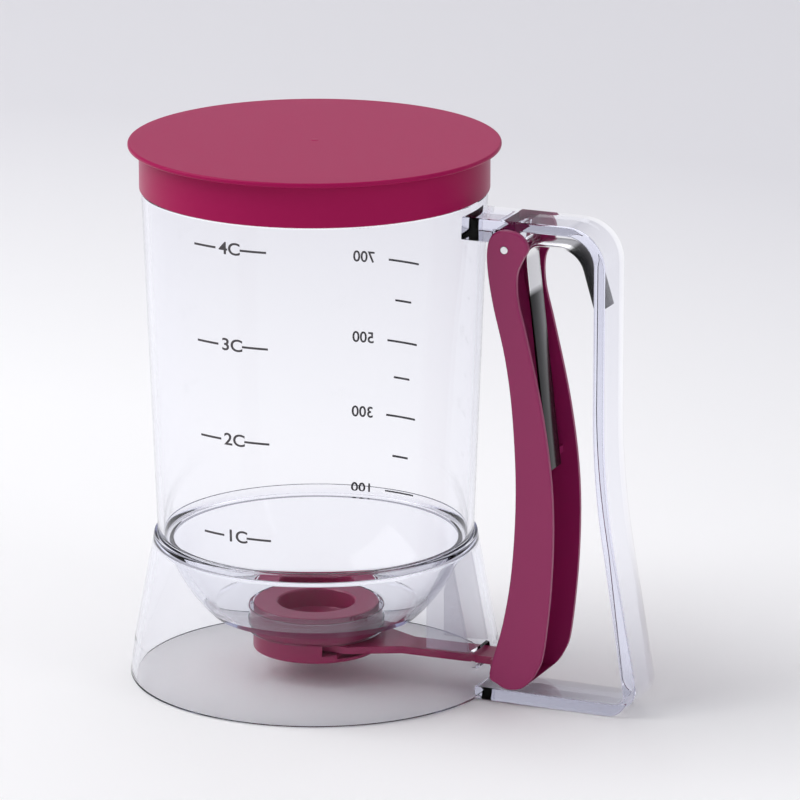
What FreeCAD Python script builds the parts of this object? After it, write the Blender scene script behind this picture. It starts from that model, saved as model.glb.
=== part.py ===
import FreeCAD, Part

import math
import os
import re

import Sketcher

# Pancake batter dispenser: a clear jug with a funnel bowl, a sliding gate under it and a
# squeeze trigger inside the loop handle. Millimetres, +Z up, +X towards the handle, and
# the origin on the jug's axis at the surface that the foot rests on.

doc = FreeCAD.newDocument("batter_dispenser")
sheet = doc.addObject("Spreadsheet::Sheet", "sizes")

# Driving sizes, each independent of the others
DRIVING = {
    # lid
    "lid_overhang": 3.4,
    "lid_plate": 1.5,
    "lid_edge": 0.5,
    "lid_band_wall": 1.2,
    "lid_band_depth": 13.0,
    "seat_gap": 0.3,
    # measuring jug
    "jug_height": 167.0,
    "jug_top_radius": 52.9,
    "jug_base_radius": 48.9,
    "jug_wall": 1.9,
    "rim_step": 0.9,
    # ring where wall, bowl and skirt meet
    "ring_height": 46.6,
    "ring_thickness": 2.0,
    "ring_lip": 0.7,
    "weld_gap": 0.1,
    # funnel bowl
    "bowl_inset": 1.3,
    "bowl_wall": 2.2,
    "floor_reach": 32.6,
    "collar_wall": 1.7,
    "collar_drop": 0.3,
    # base skirt
    "skirt_lip": 1.1,
    "skirt_waist_radius": 56.3,
    "skirt_waist_height": 11.5,
    "skirt_foot_radius": 57.8,
    "skirt_wall": 1.9,
    "shelf_thickness": 2.2,
    "guide_reach": 40.0,
    "guide_wall": 1.6,
    "slot_under_arm": 1.6,
    "slot_over_arm": 1.2,
    # valve
    "valve_radius": 19.6,
    "valve_top": 22.5,
    "valve_bottom": 7.8,
    "valve_wall": 1.6,
    "valve_floor": 2.5,
    "valve_edge": 0.6,
    "throat_height": 16.5,
    "throat_lip": 1.0,
    "boss_depth": 0.9,
    "inlet_radius": 12.0,
    "outlet_radius": 8.3,
    "gate_thickness": 2.4,
    "gate_radius": 13.0,
    "gate_overlap": 3.2,
    "running_gap": 0.3,
    "mouth_angle": 55.0,
    "mouth_reach": 30.0,
    "wedge_start": 16.0,
    "wedge_end": 31.0,
    # arm of the gate
    "arm_width": 11.0,
    "arm_side_gap": 0.9,
    "hook_width": 16.0,
    "hook_thickness": 2.0,
    "hook_play": 1.4,
    "shoulder_width": 14.8,
    "shoulder_thickness": 1.4,
    # handle
    "handle_width": 17.0,
    "handle_thickness": 3.6,
    "handle_drop": 2.3,
    "bar_thickness": 3.0,
    "sill_thickness": 4.0,
    "handle_grip": 98.2,
    "handle_reach": 109.8,
    "handle_bend": 95.0,
    "lean_height": 50.0,
    "lean_radius": 255.0,
    "handle_corner": 12.5,
    "heel_corner": 7.0,
    "heel_inner": 2.5,
    "root_block_depth": 4.2,
    "root_block_end": 62.0,
    "lug_radius": 3.5,
    # trigger
    "pivot_reach": 67.3,
    "pivot_drop": 5.0,
    "pin_radius": 1.25,
    "pin_gap": 0.05,
    "trigger_width": 21.2,
    "trigger_wall": 1.8,
    "ear_radius": 5.6,
    "trigger_neck": 61.2,
    "neck_drop": 5.2,
    "trigger_shoulder": 66.9,
    "trigger_shoulder_height": 103.0,
    "trigger_hip_height": 106.0,
    "trigger_toe": 63.0,
    "trigger_toe_height": 10.2,
    "trigger_bottom": 5.6,
    "trigger_depth": 12.1,
    "trigger_heel": 80.0,
    "trigger_heel_height": 24.0,
    "trigger_toe_reach": 69.5,
    "neck_curve": 166.0,
    "neck_back_curve": 75.0,
    "belly_curve": 219.0,
    "heel_curve": 16.0,
    "toe_curve": 8.0,
    "web_drop": 3.7,
    "stop_reach": 76.0,
    "stop_bottom": 76.0,
    "stop_depth": 2.4,
    # spring
    "spring_width": 9.7,
    "spring_thickness": 0.8,
    "spring_rise": 0.7,
    "spring_tail": 18.4,
    "spring_shoulder": 88.5,
    "spring_near_bend": 4.5,
    "spring_far_bend": 9.0,
}
for row, (alias, value) in enumerate(DRIVING.items(), start=1):
    sheet.set(f"A{row}", alias)
    sheet.set(f"B{row}", str(value))
    sheet.setAlias(f"B{row}", alias)

# Sizes worked out from the driving ones
DERIVED = {
    "lid_rest": "=jug_height + seat_gap",
    "lid_top": "=lid_rest + lid_plate",
    "band_bottom": "=lid_rest - lid_band_depth",
    "rim_radius": "=jug_top_radius - rim_step",
    "band_inner": "=rim_radius + seat_gap",
    "lid_band_radius": "=band_inner + lid_band_wall",
    "lid_radius": "=lid_band_radius + lid_overhang",
    "rim_foot": "=band_bottom - seat_gap",
    "jug_top_inner": "=jug_top_radius - jug_wall",
    "jug_base_inner": "=jug_base_radius - jug_wall",
    "ring_bottom": "=ring_height - ring_thickness",
    "ring_radius": "=jug_base_radius - weld_gap",
    "bowl_radius": "=jug_base_radius - bowl_inset",
    "bowl_inner": "=bowl_radius - bowl_wall",
    "shelf_bottom": "=ring_bottom - shelf_thickness",
    "skirt_top_radius": "=jug_base_radius + skirt_lip",
    "skirt_top_inner": "=skirt_top_radius - skirt_wall",
    "skirt_waist_inner": "=skirt_waist_radius - skirt_wall",
    "lip_top": "=ring_bottom + ring_lip",
    "guide_gap_radius": "=bowl_radius + running_gap",
    "collar_bore": "=valve_radius + weld_gap",
    "collar_radius": "=collar_bore + collar_wall",
    "gate_bottom": "=valve_bottom + valve_floor + running_gap",
    "gate_top": "=gate_bottom + gate_thickness",
    "boss_bottom": "=gate_top + running_gap",
    "boss_radius": "=valve_radius - valve_wall - running_gap",
    "housing_top": "=boss_bottom + boss_depth",
    "floor_top": "=valve_bottom + valve_floor",
    "mouth_x": "=mouth_reach * cos(mouth_angle * 1deg)",
    "mouth_y": "=mouth_reach * sin(mouth_angle * 1deg)",
    "housing_inner": "=valve_radius - valve_wall",
    "collar_bottom": "=housing_top - collar_drop",
    "floor_under": "=valve_top - bowl_wall",
    "bowl_centre": "=floor_under + sqrt(bowl_radius ^ 2 - floor_reach ^ 2)",
    "bowl_rim_outer": "=sqrt(bowl_radius ^ 2 - (bowl_centre - ring_bottom) ^ 2)",
    "bowl_rim_inner": "=sqrt(bowl_inner ^ 2 - (bowl_centre - ring_height) ^ 2)",
    "shelf_radius": "=bowl_rim_outer + running_gap",
    "floor_radius": "=sqrt(bowl_inner ^ 2 - (bowl_centre - valve_top) ^ 2)",
    "arm_half": "=arm_width / 2",
    "slot_half": "=arm_half + arm_side_gap",
    "trigger_half": "=trigger_width / 2",
    "channel_half": "=trigger_half - trigger_wall",
    "handle_top": "=rim_foot - handle_drop",
    "bar_bottom": "=handle_top - bar_thickness",
    "pivot_height": "=bar_bottom - pivot_drop",
    "trigger_neck_height": "=pivot_height - neck_drop",
    "web_top": "=pivot_height - web_drop",
    "spring_top": "=pivot_height + spring_rise",
    "spring_tail_height": "=spring_top - spring_tail",
    "grip_inner": "=handle_grip - handle_thickness",
    "heel_face": "=handle_reach - handle_thickness",
    "inner_corner": "=handle_corner - bar_thickness",
    "lean_reach": "=handle_grip + lean_radius - sqrt(lean_radius ^ 2 - (handle_bend - lean_height) ^ 2)",
    "block_bottom": "=bar_bottom - root_block_depth",
    "slot_bottom": "=gate_bottom - slot_under_arm",
    "guide_foot": "=gate_top + slot_over_arm",
    "guide_head": "=bowl_centre - sqrt(guide_gap_radius ^ 2 - guide_reach ^ 2)",
    "guide_corner": "=sqrt(guide_gap_radius ^ 2 - (bowl_centre - shelf_bottom) ^ 2)",
    "gate_lead": "=-(outlet_radius + gate_overlap)",
    "gate_middle": "=gate_lead + gate_radius",
    "belly_rise": "=trigger_shoulder_height - trigger_toe_height",
    "belly_lean": "=trigger_shoulder - trigger_toe",
    "belly_chord": "=sqrt(belly_rise ^ 2 + belly_lean ^ 2)",
    "belly_offset": "=sqrt(belly_curve ^ 2 - (belly_chord / 2) ^ 2)",
    "belly_x": "=(trigger_shoulder + trigger_toe) / 2 - belly_offset * belly_rise / belly_chord",
    "belly_middle": "=(trigger_shoulder_height + trigger_toe_height) / 2",
    "belly_z": "=belly_middle + belly_offset * belly_lean / belly_chord",
    "web_at_stop": "=belly_x + sqrt(belly_curve ^ 2 - (stop_bottom + stop_depth - belly_z) ^ 2)",
    "web_at_arm": "=belly_x + sqrt(belly_curve ^ 2 - (gate_top - belly_z) ^ 2)",
    "stop_root": "=web_at_stop + trigger_wall / 2",
    "hook_start": "=web_at_arm + trigger_wall + hook_play",
    "rib_end": "=trigger_toe - running_gap",
    "spring_foot": "=stop_reach + 2 * running_gap + spring_thickness / 2",
    "spring_knee": "=pivot_reach + lug_radius + running_gap + spring_thickness",
    "spring_end": "=grip_inner - running_gap - spring_thickness / 2",
}
for row, (alias, formula) in enumerate(DERIVED.items(), start=len(DRIVING) + 1):
    sheet.set(f"A{row}", alias)
    sheet.set(f"B{row}", formula)
    sheet.setAlias(f"B{row}", alias)
doc.recompute()


def size(expression):
    """The number that an expression over the sheet's names comes to."""
    return float(sheet.evalExpression(expression))


def bound(expression):
    """The same expression as another object of the document writes it."""
    names = set(DRIVING) | set(DERIVED)
    return re.sub(r"[a-z_]+", lambda word: ("sizes." if word[0] in names else "") + word[0], expression)


def new_body(label):
    body = doc.addObject("PartDesign::Body", label)
    body.Label = label
    return body


def origin_plane(body, role):
    return next(plane for plane in body.Origin.OriginFeatures if plane.Role == role)


def arc_between(start, end, radius, bulge):
    """The shorter arc from start to end; bulge is left or right of that direction."""
    across = (end[0] - start[0], end[1] - start[1])
    chord = math.hypot(*across)
    normal = (-across[1] / chord, across[0] / chord)
    inward = -1 if bulge == "left" else 1
    depth = math.sqrt(max(radius ** 2 - (chord / 2) ** 2, 0.0)) * inward
    centre = ((start[0] + end[0]) / 2 + normal[0] * depth, (start[1] + end[1]) / 2 + normal[1] * depth)
    from_angle = math.atan2(start[1] - centre[1], start[0] - centre[0])
    to_angle = math.atan2(end[1] - centre[1], end[0] - centre[0])
    if bulge == "left":
        from_angle, to_angle = to_angle, from_angle
    circle = Part.Circle(FreeCAD.Vector(centre[0], centre[1], 0), FreeCAD.Vector(0, 0, 1), radius)
    return Part.ArcOfCircle(circle, from_angle, to_angle)


def closed_sketch(body, label, role, corners):
    """A closed outline bound to the sheet.

    A corner is (x, y) for a straight side that leads to it, or (x, y, radius, bulge) for an arc.
    """
    sketch = body.newObject("Sketcher::SketchObject", label)
    sketch.AttachmentSupport = [(origin_plane(body, role), "")]
    sketch.MapMode = "FlatFace"
    spots = [(size(corner[0]), size(corner[1])) for corner in corners]
    ends = []
    for index, corner in enumerate(corners):
        start, end = spots[index - 1], spots[index]
        if len(corner) == 2:
            line = Part.LineSegment(FreeCAD.Vector(*start, 0), FreeCAD.Vector(*end, 0))
            sketch.addGeometry(line, False)
            ends.append((1, 2))
        else:
            sketch.addGeometry(arc_between(start, end, size(corner[2]), corner[3]), False)
            ends.append((2, 1) if corner[3] == "left" else (1, 2))
    for index, corner in enumerate(corners):
        after = (index + 1) % len(corners)
        sketch.addConstraint(Sketcher.Constraint("Coincident", index, ends[index][1], after, ends[after][0]))
        for kind, value in (("DistanceX", corner[0]), ("DistanceY", corner[1])):
            rule = Sketcher.Constraint(kind, -1, 1, index, ends[index][1], size(value))
            number = sketch.addConstraint(rule)
            sketch.setExpression(f"Constraints[{number}]", bound(value))
        if len(corner) > 2:
            number = sketch.addConstraint(Sketcher.Constraint("Radius", index, size(corner[2])))
            sketch.setExpression(f"Constraints[{number}]", bound(corner[2]))
    return sketch


def revolve(body, label, sketch, kind="PartDesign::Revolution"):
    turned = body.newObject(kind, label)
    turned.Profile = sketch
    turned.ReferenceAxis = (sketch, ["V_Axis"])
    turned.Angle = 360.0
    return turned


def extrude(body, label, sketch, length, kind="PartDesign::Pad", middle=False, reverse=False):
    block = body.newObject(kind, label)
    block.Profile = sketch
    block.Type = "Length"
    block.setExpression("Length", bound(length))
    if middle:
        block.SideType = "Symmetric"
    block.Reversed = reverse
    return block


# Lid: a plate that overhangs a thin band, pushed over the jug's rim
lid = new_body("lid")
lid_profile = closed_sketch(lid, "lid_profile", "XZ_Plane", [
    ("0", "lid_rest"),
    ("band_inner", "lid_rest"),
    ("band_inner", "band_bottom"),
    ("lid_band_radius", "band_bottom"),
    ("lid_band_radius", "lid_rest"),
    ("lid_radius", "lid_rest"),
    ("lid_radius", "lid_top - lid_edge"),
    ("lid_radius - lid_edge", "lid_top"),
    ("0", "lid_top"),
])
revolve(lid, "lid_turned", lid_profile)

# Measuring jug: a tapered wall with a thinner rim that the lid's band slips over
measuring_jug = new_body("measuring_jug")
jug_profile = closed_sketch(measuring_jug, "jug_profile", "XZ_Plane", [
    ("jug_base_inner", "ring_height"),
    ("jug_base_radius", "ring_height"),
    ("jug_top_radius", "rim_foot"),
    ("rim_radius", "rim_foot"),
    ("rim_radius", "jug_height"),
    ("jug_top_inner", "jug_height"),
    ("jug_top_inner", "rim_foot"),
])
revolve(measuring_jug, "jug_turned", jug_profile)

# Funnel bowl: a round bottom hung by its flange, with a flat floor and a collar that holds the valve
funnel_bowl = new_body("funnel_bowl")
bowl_profile = closed_sketch(funnel_bowl, "bowl_profile", "XZ_Plane", [
    ("bowl_rim_inner", "ring_height"),
    ("floor_radius", "valve_top", "bowl_inner", "left"),
    ("collar_bore", "valve_top"),
    ("collar_bore", "collar_bottom"),
    ("collar_radius", "collar_bottom"),
    ("collar_radius", "floor_under"),
    ("floor_reach", "floor_under"),
    ("bowl_rim_outer", "ring_bottom", "bowl_radius", "right"),
    ("ring_radius", "ring_bottom"),
    ("ring_radius", "ring_height"),
])
revolve(funnel_bowl, "bowl_turned", bowl_profile)

# Base skirt: flares to the foot, carries the bowl's flange and guides the gate's arm
base_skirt = new_body("base_skirt")
skirt_profile = closed_sketch(base_skirt, "skirt_profile", "XZ_Plane", [
    ("shelf_radius", "shelf_bottom"),
    ("skirt_top_inner", "shelf_bottom"),
    ("skirt_waist_inner", "skirt_waist_height"),
    ("skirt_foot_radius - skirt_wall", "0"),
    ("skirt_foot_radius", "0"),
    ("skirt_waist_radius", "skirt_waist_height"),
    ("skirt_top_radius", "lip_top"),
    ("jug_base_radius", "lip_top"),
    ("jug_base_radius", "ring_bottom"),
    ("shelf_radius", "ring_bottom"),
])
revolve(base_skirt, "skirt_turned", skirt_profile)
for side, shift in (("left", "slot_half"), ("right", "-slot_half - guide_wall")):
    rib = closed_sketch(base_skirt, f"guide_{side}_profile", "XZ_Plane", [
        ("guide_reach", "guide_foot"),
        ("skirt_waist_inner", "guide_foot"),
        ("skirt_top_radius - skirt_wall / 2", "shelf_bottom + shelf_thickness / 2"),
        ("guide_corner", "shelf_bottom"),
        ("guide_reach", "guide_head", "guide_gap_radius", "left"),
    ])
    rib.setExpression("AttachmentOffset.Base.z", bound(shift))
    extrude(base_skirt, f"guide_{side}", rib, "guide_wall")
slot_profile = closed_sketch(base_skirt, "arm_slot_profile", "YZ_Plane", [
    ("-slot_half", "slot_bottom"),
    ("slot_half", "slot_bottom"),
    ("slot_half", "guide_foot"),
    ("-slot_half", "guide_foot"),
])
extrude(base_skirt, "arm_slot", slot_profile, "handle_reach", kind="PartDesign::Pocket", reverse=True)

# Valve seat: the ring in the collar that the batter runs through
valve_seat = new_body("valve_seat")
seat_profile = closed_sketch(valve_seat, "seat_profile", "XZ_Plane", [
    ("outlet_radius", "boss_bottom"),
    ("boss_radius", "boss_bottom"),
    ("boss_radius", "housing_top"),
    ("valve_radius", "housing_top"),
    ("valve_radius", "valve_top - valve_edge"),
    ("valve_radius - valve_edge", "valve_top"),
    ("inlet_radius", "valve_top"),
    ("inlet_radius", "throat_height"),
    ("outlet_radius", "boss_bottom + throat_lip"),
])
revolve(valve_seat, "seat_turned", seat_profile)

# Valve housing: the cup under the seat, open towards the handle for the gate
valve_housing = new_body("valve_housing")
housing_profile = closed_sketch(valve_housing, "housing_profile", "XZ_Plane", [
    ("outlet_radius", "valve_bottom"),
    ("valve_radius - valve_edge", "valve_bottom"),
    ("valve_radius", "valve_bottom + valve_edge"),
    ("valve_radius", "housing_top"),
    ("housing_inner", "housing_top"),
    ("housing_inner", "floor_top"),
    ("outlet_radius", "floor_top"),
])
revolve(valve_housing, "housing_turned", housing_profile)
mouth_profile = closed_sketch(valve_housing, "mouth_profile", "XY_Plane", [
    ("0", "0"),
    ("mouth_x", "-mouth_y"),
    ("mouth_reach", "-mouth_y"),
    ("mouth_reach", "mouth_y"),
    ("mouth_x", "mouth_y"),
])
mouth_profile.setExpression("AttachmentOffset.Base.z", bound("floor_top"))
extrude(valve_housing, "mouth", mouth_profile, "housing_top", kind="PartDesign::Pocket", reverse=True)

# Slide gate: a round paddle that shuts the outlet, and the arm out to the trigger
slide_gate = new_body("slide_gate")
gate_side = [
    ("gate_middle", "gate_radius", "gate_radius", "left"),
    ("wedge_start", "gate_radius"),
    ("wedge_end", "arm_half"),
    ("rib_end - shoulder_thickness", "arm_half"),
    ("rib_end - shoulder_thickness", "shoulder_width / 2"),
    ("rib_end", "shoulder_width / 2"),
    ("rib_end", "arm_half"),
    ("hook_start", "arm_half"),
    ("hook_start", "hook_width / 2"),
    ("hook_start + hook_thickness", "hook_width / 2"),
]
other_side = [(x, f"-({y})") for x, y in [corner[:2] for corner in reversed(gate_side)]]
gate_profile = closed_sketch(slide_gate, "gate_profile", "XY_Plane", [
    ("gate_lead", "0", "gate_radius", "left"), *gate_side, *other_side,
])
gate_profile.setExpression("AttachmentOffset.Base.z", bound("gate_bottom"))
extrude(slide_gate, "gate_plate", gate_profile, "gate_thickness")

# Handle: a loop of flat band, welded to the jug under the rim and to the skirt at the table
handle_frame = new_body("handle_frame")
loop_profile = closed_sketch(handle_frame, "loop_profile", "XZ_Plane", [
    ("guide_reach", "handle_top"),
    ("handle_grip - handle_corner", "handle_top"),
    ("handle_grip", "handle_top - handle_corner", "handle_corner", "left"),
    ("handle_grip", "handle_bend"),
    ("lean_reach", "lean_height", "lean_radius", "right"),
    ("handle_reach", "heel_corner"),
    ("handle_reach - heel_corner", "0", "heel_corner", "left"),
    ("guide_reach", "0"),
    ("guide_reach", "sill_thickness"),
    ("heel_face - heel_inner", "sill_thickness"),
    ("heel_face - heel_inner / 2", "sill_thickness + heel_inner", "heel_inner * 1.2", "right"),
    ("lean_reach - handle_thickness", "lean_height"),
    ("grip_inner", "handle_bend", "lean_radius + handle_thickness", "left"),
    ("grip_inner", "bar_bottom - inner_corner"),
    ("grip_inner - inner_corner", "bar_bottom", "inner_corner", "right"),
    ("root_block_end", "bar_bottom"),
    ("root_block_end", "block_bottom"),
    ("guide_reach", "block_bottom"),
])
extrude(handle_frame, "loop", loop_profile, "handle_width", middle=True)
lug_profile = closed_sketch(handle_frame, "lug_profile", "XZ_Plane", [
    ("pivot_reach - lug_radius", "pivot_height"),
    ("pivot_reach", "pivot_height - lug_radius", "lug_radius", "right"),
    ("pivot_reach + lug_radius", "pivot_height", "lug_radius", "right"),
    ("pivot_reach + lug_radius", "bar_bottom + bar_thickness / 2"),
    ("pivot_reach - lug_radius", "bar_bottom + bar_thickness / 2"),
])
extrude(handle_frame, "lug", lug_profile, "handle_width", middle=True)
weld_profile = closed_sketch(handle_frame, "weld_profile", "XZ_Plane", [
    ("0", "-skirt_wall"),
    ("skirt_foot_radius + weld_gap", "-skirt_wall"),
    ("skirt_foot_radius + weld_gap", "0"),
    ("skirt_waist_radius + weld_gap", "skirt_waist_height"),
    ("jug_base_radius + weld_gap", "ring_height"),
    ("jug_top_radius + weld_gap", "rim_foot"),
    ("0", "rim_foot"),
])
revolve(handle_frame, "weld_faces", weld_profile, kind="PartDesign::Groove")

# Trigger: a channel open towards the handle, with two ears that straddle the lug
trigger = new_body("trigger")
lever_profile = closed_sketch(trigger, "lever_profile", "XZ_Plane", [
    ("pivot_reach - ear_radius", "pivot_height"),
    ("pivot_reach", "pivot_height + ear_radius", "ear_radius", "left"),
    ("pivot_reach + ear_radius", "pivot_height", "ear_radius", "left"),
    ("trigger_neck + trigger_depth", "trigger_neck_height"),
    ("trigger_shoulder + trigger_depth", "trigger_hip_height", "neck_back_curve", "right"),
    ("trigger_heel", "trigger_heel_height", "belly_curve", "left"),
    ("trigger_toe_reach", "trigger_bottom", "heel_curve", "left"),
    ("trigger_toe", "trigger_toe_height", "toe_curve", "left"),
    ("trigger_shoulder", "trigger_shoulder_height", "belly_curve", "right"),
    ("trigger_neck", "trigger_neck_height", "neck_curve", "left"),
])
extrude(trigger, "lever", lever_profile, "trigger_width", middle=True)
channel_profile = closed_sketch(trigger, "channel_profile", "XZ_Plane", [
    ("trigger_neck - trigger_depth", "web_top"),
    ("trigger_neck - trigger_depth", "handle_top"),
    ("handle_grip", "handle_top"),
    ("handle_grip", "trigger_toe_height + trigger_wall"),
    ("trigger_toe_reach + trigger_wall", "trigger_bottom + trigger_wall"),
    ("trigger_toe + trigger_wall", "trigger_toe_height + trigger_wall / 2", "toe_curve", "left"),
    ("trigger_shoulder + trigger_wall", "trigger_shoulder_height", "belly_curve", "right"),
    ("trigger_neck + trigger_wall", "trigger_neck_height", "neck_curve", "left"),
    ("trigger_neck + trigger_wall", "web_top"),
])
extrude(trigger, "channel", channel_profile, "2 * channel_half", kind="PartDesign::Pocket", middle=True)
stop_profile = closed_sketch(trigger, "stop_profile", "XZ_Plane", [
    ("stop_root", "stop_bottom"),
    ("stop_reach", "stop_bottom"),
    ("stop_reach", "stop_bottom + stop_depth"),
    ("stop_root", "stop_bottom + stop_depth"),
])
extrude(trigger, "spring_stop", stop_profile, "2 * channel_half + trigger_wall", middle=True)
hook_profile = closed_sketch(trigger, "hook_slot_profile", "YZ_Plane", [
    ("-slot_half", "slot_bottom - slot_under_arm / 2"),
    ("slot_half", "slot_bottom - slot_under_arm / 2"),
    ("slot_half", "gate_top + slot_over_arm / 2"),
    ("-slot_half", "gate_top + slot_over_arm / 2"),
])
extrude(trigger, "hook_slot", hook_profile, "trigger_toe_reach + trigger_wall",
        kind="PartDesign::Pocket", reverse=True)

# Pin and its holes through the ears and the lug
for body in (trigger, handle_frame):
    hole = body.newObject("Sketcher::SketchObject", f"{body.Label}_pin_hole_profile")
    hole.AttachmentSupport = [(origin_plane(body, "XZ_Plane"), "")]
    hole.MapMode = "FlatFace"
    centre = FreeCAD.Vector(size("pivot_reach"), size("pivot_height"), 0)
    hole.addGeometry(Part.Circle(centre, FreeCAD.Vector(0, 0, 1), size("pin_radius + pin_gap")), False)
    for kind, value in (("DistanceX", "pivot_reach"), ("DistanceY", "pivot_height")):
        number = hole.addConstraint(Sketcher.Constraint(kind, -1, 1, 0, 3, size(value)))
        hole.setExpression(f"Constraints[{number}]", bound(value))
    number = hole.addConstraint(Sketcher.Constraint("Radius", 0, size("pin_radius + pin_gap")))
    hole.setExpression(f"Constraints[{number}]", bound("pin_radius + pin_gap"))
    extrude(body, f"{body.Label}_pin_hole", hole, "2 * trigger_width",
            kind="PartDesign::Pocket", middle=True)

pivot_pin = doc.addObject("Part::Cylinder", "pivot_pin")
pivot_pin.Label = "pivot_pin"
pivot_pin.setExpression("Radius", bound("pin_radius"))
pivot_pin.setExpression("Height", bound("trigger_width"))
pivot_pin.Placement = FreeCAD.Placement(FreeCAD.Vector(), FreeCAD.Rotation(FreeCAD.Vector(1, 0, 0), 90))
pivot_pin.setExpression("Placement.Base.x", bound("pivot_reach"))
pivot_pin.setExpression("Placement.Base.y", bound("trigger_half"))
pivot_pin.setExpression("Placement.Base.z", bound("pivot_height"))


def rounded_path(corners, bends):
    """Straight runs in the XZ plane joined by tangent arcs, as one wire."""
    points = [FreeCAD.Vector(x, 0, z) for x, z in corners]
    edges = []
    last = points[0]
    for before, corner, after, bend in zip(points, points[1:], points[2:], bends):
        back = (before - corner).normalize()
        ahead = (after - corner).normalize()
        half = back.getAngle(ahead) / 2
        reach = bend / math.tan(half)
        start = corner + back * reach
        end = corner + ahead * reach
        middle = corner + (back + ahead).normalize() * (bend / math.sin(half) - bend)
        edges.append(Part.LineSegment(last, start).toShape())
        edges.append(Part.Arc(start, middle, end).toShape())
        last = end
    edges.append(Part.LineSegment(last, points[-1]).toShape())
    return Part.Wire(edges)


# Return spring: a bent steel leaf, its long leg in the channel and its short one on the handle
spring_path = rounded_path(
    [(size("spring_foot"), size("stop_bottom")),
     (size("spring_knee"), size("spring_top")),
     (size("spring_shoulder"), size("spring_top")),
     (size("spring_end"), size("spring_tail_height"))],
    [size("spring_near_bend"), size("spring_far_bend")])
leaf_half = FreeCAD.Vector(0, size("spring_width") / 2, 0)
leaf = spring_path.makeOffset2D(size("spring_thickness / 2"), 2, True, True, False)
return_spring = doc.addObject("Part::Feature", "return_spring")
return_spring.Label = "return_spring"
return_spring.Shape = leaf.translated(leaf_half * -1).extrude(leaf_half * 2)

doc.recompute()
NODES = [lid, measuring_jug, funnel_bowl, base_skirt, handle_frame, valve_seat, valve_housing,
         slide_gate, trigger, pivot_pin, return_spring]
for item in doc.Objects:
    if {"Invalid", "Error"} & set(item.State):
        raise RuntimeError(f"{item.Label} did not build: {item.State}")
os.makedirs("parts", exist_ok=True)
for node in NODES:
    shape = node.Shape
    if shape.isNull() or not shape.isValid() or len(shape.Solids) != 1:
        raise RuntimeError(f"{node.Label} is not one sound solid")
    shape.exportStep(f"parts/{node.Label}.step")
    box = shape.BoundBox
    print(f"{node.Label}: {shape.Volume / 1000:.2f} ml of material, "
          f"x {box.XMin:.1f} to {box.XMax:.1f}, y {box.YMin:.1f} to {box.YMax:.1f}, "
          f"z {box.ZMin:.1f} to {box.ZMax:.1f}")
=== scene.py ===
# %% [markdown]
# Pancake batter dispenser, dressed for a picture.
#
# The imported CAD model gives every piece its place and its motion. This lesson models the same
# pieces again with finer forms, gives them their finishes, and sets them on a pale studio
# floor. Outlines are written in millimetres, as on a maker's drawing, and become metres when
# a mesh is made.

# %% Load the frame
import math

import bmesh
import bpy
from mathutils import Matrix, Vector


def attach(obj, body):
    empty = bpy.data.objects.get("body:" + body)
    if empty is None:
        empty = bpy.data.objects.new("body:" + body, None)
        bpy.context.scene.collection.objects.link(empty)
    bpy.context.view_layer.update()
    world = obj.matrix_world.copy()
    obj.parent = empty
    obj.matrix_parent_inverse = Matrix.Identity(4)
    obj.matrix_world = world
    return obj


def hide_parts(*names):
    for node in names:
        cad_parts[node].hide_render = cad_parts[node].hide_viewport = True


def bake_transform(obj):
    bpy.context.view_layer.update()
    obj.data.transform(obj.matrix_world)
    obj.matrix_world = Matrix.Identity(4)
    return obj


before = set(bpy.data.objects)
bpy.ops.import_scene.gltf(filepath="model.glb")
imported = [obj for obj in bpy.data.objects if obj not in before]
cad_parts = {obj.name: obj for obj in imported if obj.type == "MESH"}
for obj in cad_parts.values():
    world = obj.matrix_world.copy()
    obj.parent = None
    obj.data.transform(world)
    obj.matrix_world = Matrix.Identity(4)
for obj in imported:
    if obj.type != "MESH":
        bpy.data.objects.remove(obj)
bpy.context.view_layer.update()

MM = 0.001
ROUND_STEPS = 144
print("nodes in the frame:", sorted(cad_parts))

# %% [markdown]
# Clear plastic shows every corner, so outlines are drawn with small radii instead of sharp
# points. The first helper takes corners as (across, up, radius) and lays an arc into each one,
# as a draughtsperson would. A radius of zero keeps the corner. The others draw one arc, a smooth
# line through given spots, and a rectangle.


# %% Outlines with rounded corners
def rounded(corners, steps=4):
    """Points of a closed outline whose corners (a, b, radius) are filleted."""
    points = []
    for index, (a, b, radius) in enumerate(corners):
        here = Vector((a, b))
        if radius == 0:
            points.append((a, b))
            continue
        before = Vector(corners[index - 1][:2]) - here
        after = Vector(corners[(index + 1) % len(corners)][:2]) - here
        half = before.angle(after) / 2
        reach = min(radius / math.tan(half), before.length * 0.49, after.length * 0.49)
        radius = reach * math.tan(half)
        inward = (before.normalized() + after.normalized()).normalized()
        middle = here + inward * (radius / math.sin(half))
        start = here + before.normalized() * reach - middle
        turn = start.angle_signed(here + after.normalized() * reach - middle)
        for step in range(steps + 1):
            spot = middle + Matrix.Rotation(-turn * step / steps, 2) @ start
            points.append((spot.x, spot.y))
    return points


def arc(start, end, radius, bulge, steps=12):
    """Points after start up to end on the shorter arc that bulges left or right of the way there."""
    start, end = Vector(start), Vector(end)
    across = end - start
    normal = Vector((-across.y, across.x)).normalized()
    side = -1 if bulge == "left" else 1
    middle = (start + end) / 2 + normal * side * math.sqrt(radius ** 2 - (across.length / 2) ** 2)
    turn = (start - middle).angle_signed(end - middle)
    turns = [Matrix.Rotation(-turn * step / steps, 2) for step in range(1, steps + 1)]
    spots = [middle + turned_by @ (start - middle) for turned_by in turns]
    return [(spot.x, spot.y) for spot in spots]


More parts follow.
